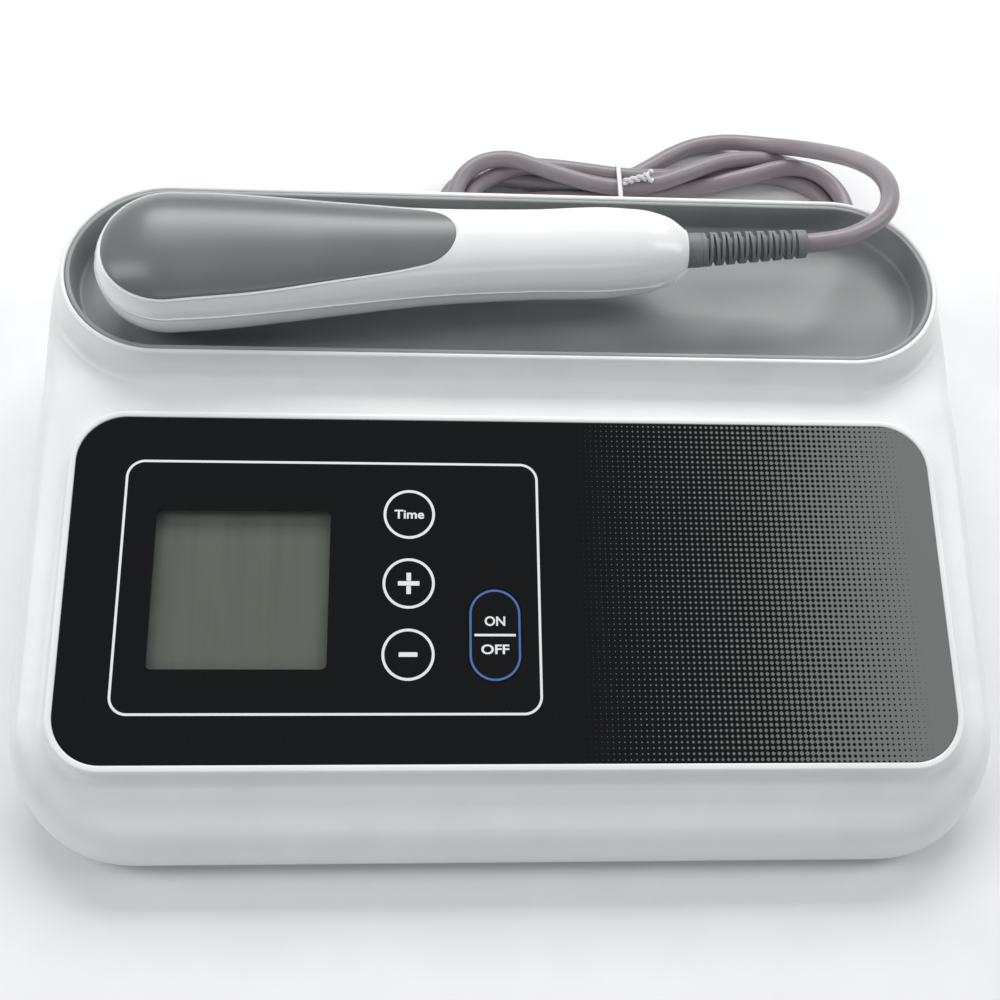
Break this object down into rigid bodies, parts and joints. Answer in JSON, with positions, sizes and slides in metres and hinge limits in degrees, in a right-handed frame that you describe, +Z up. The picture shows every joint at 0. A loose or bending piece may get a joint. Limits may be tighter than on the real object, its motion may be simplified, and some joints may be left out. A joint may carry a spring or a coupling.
{
  "type": "ultrasound therapy device",
  "caption": "Bench-top ultrasound therapy unit with display, press keys and a corded treatment handset resting in its rear tray.",
  "frame": {"origin": "on the floor under the middle of the case, cord left out", "axes": "+X to the unit's right along its width, +Y to its rear, +Z up"},
  "size_m": [0.284, 0.2749, 0.0711],
  "materials": {
    "white_abs": "satin moulded ABS",
    "white_gloss_abs": "glossy moulded ABS",
    "grey_liner": "fine satin moulded plastic",
    "grey_satin_abs": "satin moulded ABS",
    "black_acrylic": "glossy, printed from behind",
    "clear_acrylic": "clear lens",
    "display_glass": "reflective liquid crystal glass, off",
    "black_nylon": "moulded nylon",
    "circuit_board": "solder mask",
    "zinc_steel": "zinc plated",
    "ferrite": "sintered ferrite",
    "copper_winding": "enamelled copper wire",
    "black_aluminium": "black anodised",
    "capacitor_sleeve": "shrink sleeve",
    "terminal_green": "moulded",
    "grey_rubber": "moulded soft PVC",
    "foot_rubber": "moulded rubber",
    "cord_pvc": "satin PVC sheath",
    "ribbon_grey": "flat cable",
    "red_pvc": "PVC insulation",
    "white_pvc": "paper and wire tie",
    "polished_metal": "fine turned, polished",
    "ceramic": "silvered piezo ceramic"
  },
  "bodies": {
    "root": {"base_shell": "white_abs", "board_screws": "zinc_steel", "buzzer": "black_nylon", "capacitors": "capacitor_sleeve", "case_screws": "zinc_steel", "cord_gland": "grey_rubber", "cord_hank": "cord_pvc", "cord_leads": "cord_pvc", "cord_tie": "white_pvc", "display_board": "circuit_board", "display_board_screws": "zinc_steel", "display_frame": "black_nylon", "display_glass": "display_glass", "display_lens": "clear_acrylic", "drive_transformer_core": "ferrite", "drive_transformer_winding": "copper_winding", "handset_cord": "cord_pvc", "heat_sink": "black_aluminium", "inlet_leads": "red_pvc", "key_switches": "black_nylon", "main_board": "circuit_board", "output_transistors": "black_nylon", "panel_overlay": "black_acrylic", "power_inlet": "black_nylon", "ribbon_cable": "ribbon_grey", "rubber_feet": "foot_rubber", "terminal_block": "terminal_green", "top_shell": "white_abs", "tray_liner": "grey_liner"},
    "handset": {"handset_upper_shell": "white_gloss_abs", "handset_lower_shell": "white_gloss_abs", "handset_cover": "grey_satin_abs", "treatment_head": "polished_metal", "head_seal": "foot_rubber", "piezo_disc": "ceramic", "damping_backing": "foot_rubber", "handset_board": "circuit_board", "piezo_lead": "red_pvc", "handset_screws": "zinc_steel", "strain_relief": "grey_rubber"},
    "key_time_cap": {"key_time": "black_acrylic"},
    "key_plus_cap": {"key_plus": "black_acrylic"},
    "key_minus_cap": {"key_minus": "black_acrylic"},
    "key_on_off_cap": {"key_on_off": "black_acrylic"}
  },
  "joints": [
    {"name": "handset_lift", "type": "slide", "parent": "root", "child": "handset", "axis": [0, 0, 1], "range_m": [0, 0.06]},
    {"name": "key_time_press", "type": "slide", "parent": "root", "child": "key_time_cap", "axis": [0, 0.1392, -0.9903], "range_m": [0, 0.0004], "stiffness_N_per_m": 500},
    {"name": "key_plus_press", "type": "slide", "parent": "root", "child": "key_plus_cap", "axis": [0, 0.1392, -0.9903], "range_m": [0, 0.0004], "stiffness_N_per_m": 500},
    {"name": "key_minus_press", "type": "slide", "parent": "root", "child": "key_minus_cap", "axis": [0, 0.1392, -0.9903], "range_m": [0, 0.0004], "stiffness_N_per_m": 500},
    {"name": "key_on_off_press", "type": "slide", "parent": "root", "child": "key_on_off_cap", "axis": [0, 0.1392, -0.9903], "range_m": [0, 0.0004], "stiffness_N_per_m": 500}
  ]
}
